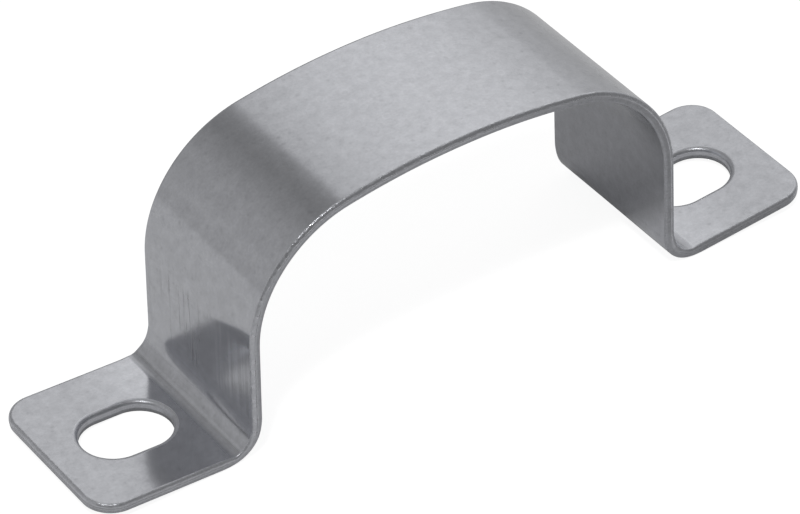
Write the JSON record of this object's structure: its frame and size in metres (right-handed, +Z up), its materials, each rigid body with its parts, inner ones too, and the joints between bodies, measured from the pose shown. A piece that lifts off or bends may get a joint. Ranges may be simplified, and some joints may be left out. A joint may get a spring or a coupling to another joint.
{
  "type": "double pipe saddle",
  "caption": "Folded metal strip with a wide shallow arch that holds two pipes side by side, and a slotted foot at each end.",
  "frame": {"origin": "midway between the two feet and midway across the strip, on the plane that the undersides of the two foot bends touch", "axes": "+X along the strip from foot to foot, +Y along the pipes, +Z up, away from the surface that the saddle is screwed to"},
  "size_m": [0.0894, 0.02, 0.0289],
  "materials": {
    "stainless_strip": "satin"
  },
  "bodies": {
    "root": {"double_pipe_saddle": "stainless_strip"}
  },
  "joints": []
}
